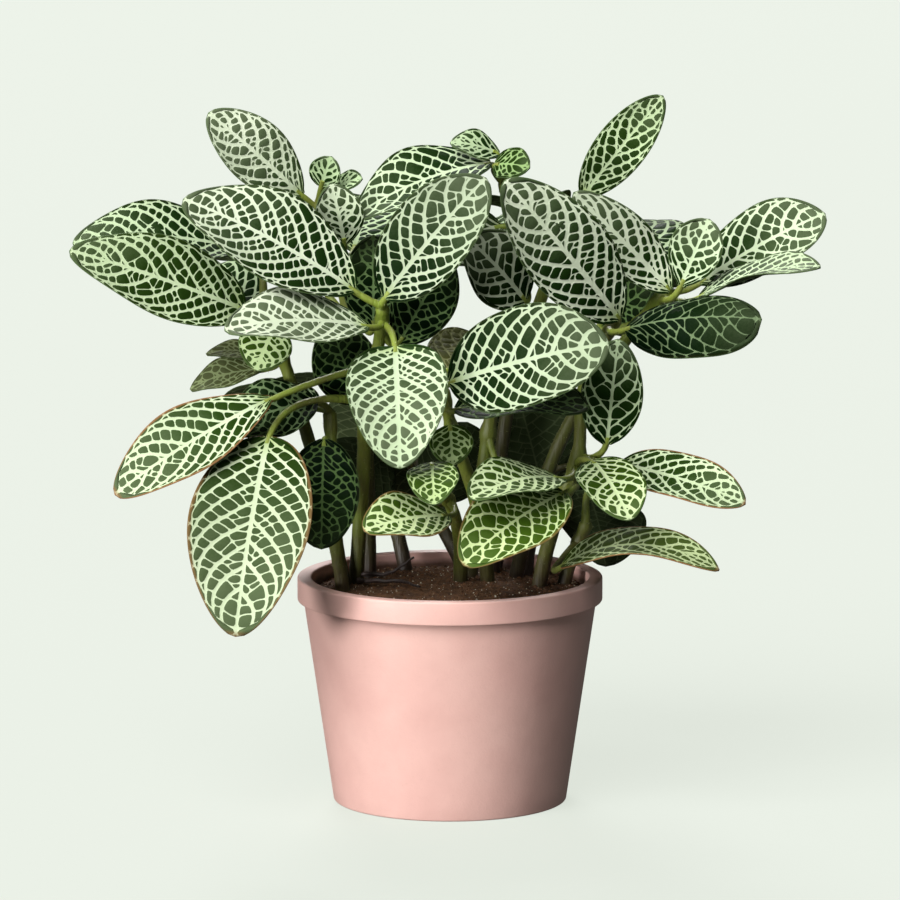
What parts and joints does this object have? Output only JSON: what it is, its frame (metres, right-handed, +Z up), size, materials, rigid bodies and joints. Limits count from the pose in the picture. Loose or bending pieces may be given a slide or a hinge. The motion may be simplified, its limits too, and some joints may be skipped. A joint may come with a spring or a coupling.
{
  "type": "potted nerve plant",
  "caption": "Nerve plant with white-veined dark green leaves on upright stems, in soil in a tapered round pot with a rim band.",
  "frame": {"origin": "centre of the pot's underside, on the plane it stands on", "axes": "+Z up along the pot's axis, -Y towards the front seen in the picture, +X to the right of it"},
  "size_m": [0.2946, 0.197, 0.2755],
  "materials": {
    "pot": "satin",
    "soil": "matte",
    "leaf": "satin"
  },
  "bodies": {
    "root": {"pot": "pot", "soil": "soil", "leafy_stem_back_left": "leaf", "leafy_stem_back_right": "leaf", "leafy_stem_centre": "leaf", "leafy_stem_far_left": "leaf", "leafy_stem_left_front": "leaf", "leafy_stem_left_low": "leaf", "leafy_stem_left_top": "leaf", "leafy_stem_low_back_left": "leaf", "leafy_stem_low_back_right": "leaf", "leafy_stem_low_front": "leaf", "leafy_stem_low_right": "leaf", "leafy_stem_right": "leaf", "leafy_stem_right_top": "leaf", "leafy_stem_top": "leaf", "leafy_stem_upright": "leaf"}
  },
  "joints": []
}
